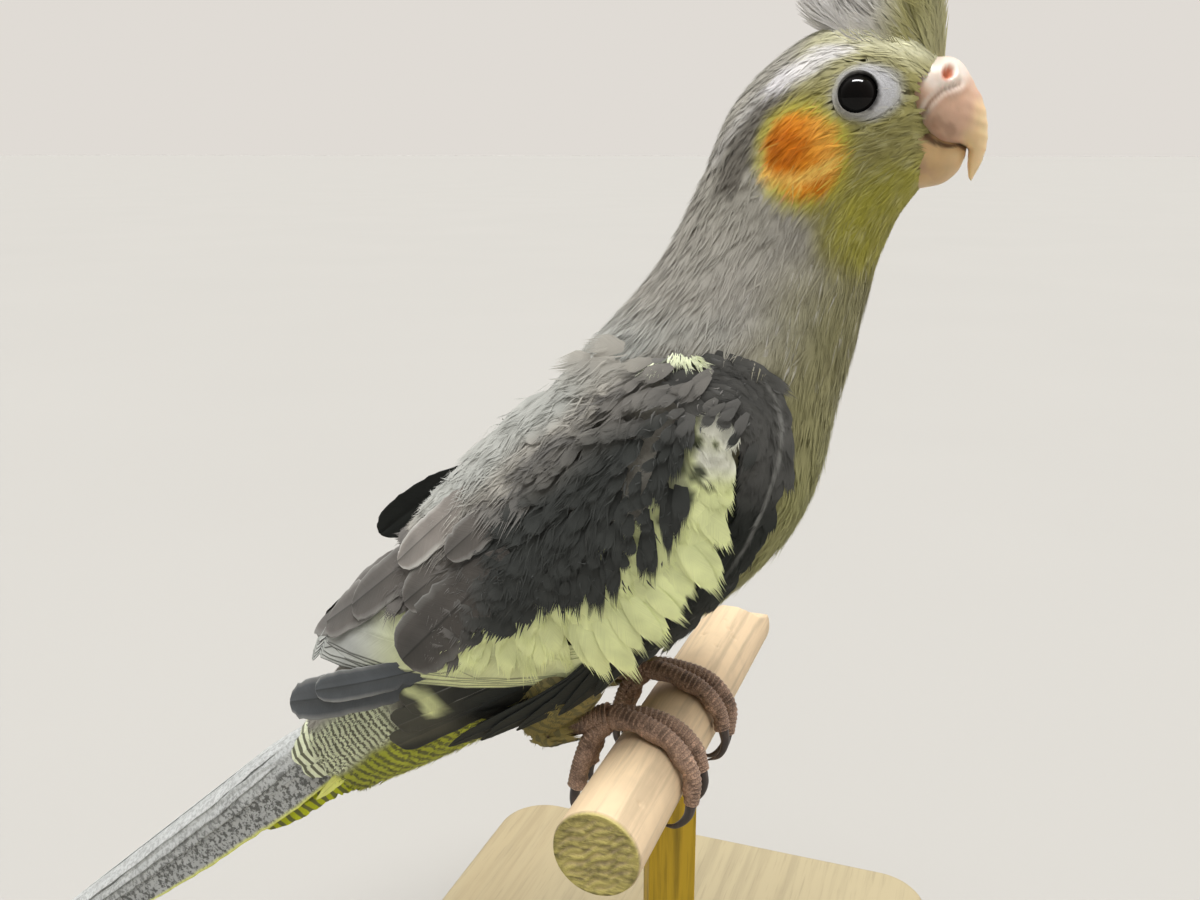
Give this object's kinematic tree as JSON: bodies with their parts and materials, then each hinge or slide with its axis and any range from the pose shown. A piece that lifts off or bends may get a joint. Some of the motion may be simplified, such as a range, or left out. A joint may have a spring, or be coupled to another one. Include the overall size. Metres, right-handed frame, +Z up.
{
  "type": "cockatiel",
  "caption": "Life-size still model of a grey cockatiel gripping a short dowel perch on a post and flat base.",
  "frame": {"origin": "underside of the base, straight below the perch's axis in the bird's middle plane", "axes": "+X the way the bird faces, -Y its right side, +Z up; the perch runs along Y"},
  "size_m": [0.2305, 0.168, 0.272],
  "materials": {
    "head_feathers": "soft pale yellow-olive face and crest feathers, orange cheek",
    "body_feathers": "soft warm grey contour feathers",
    "wing_feathers": "slate and brown-grey flight feathers with a cream-white patch",
    "tail_feathers": "pale grey, finely mottled, yellow lower edge",
    "leg_feathers": "barred yellow-olive thigh feathers",
    "bill": "smooth pink horn with a yellowish tip",
    "eye": "glossy brown-black",
    "foot_skin": "brown-purple scaly skin",
    "claw": "dark horn",
    "perch_wood": "bare pale dowel with sawn end grain",
    "post_wood": "bare yellow-brown square post",
    "base_wood": "bare pale board with rounded corners"
  },
  "bodies": {
    "root": {"head": "head_feathers", "neck": "body_feathers", "torso": "body_feathers", "upper_bill": "bill", "lower_bill": "bill", "tail": "tail_feathers", "stand_perch": "perch_wood", "stand_post": "post_wood", "stand_base": "base_wood", "eye_right": "eye", "wing_right": "wing_feathers", "leg_right": "leg_feathers", "foot_right": "foot_skin", "claw_right_1": "claw", "claw_right_2": "claw", "claw_right_3": "claw", "claw_right_4": "claw", "eye_left": "eye", "wing_left": "wing_feathers", "leg_left": "leg_feathers", "foot_left": "foot_skin", "claw_left_1": "claw", "claw_left_2": "claw", "claw_left_3": "claw", "claw_left_4": "claw"}
  },
  "joints": []
}
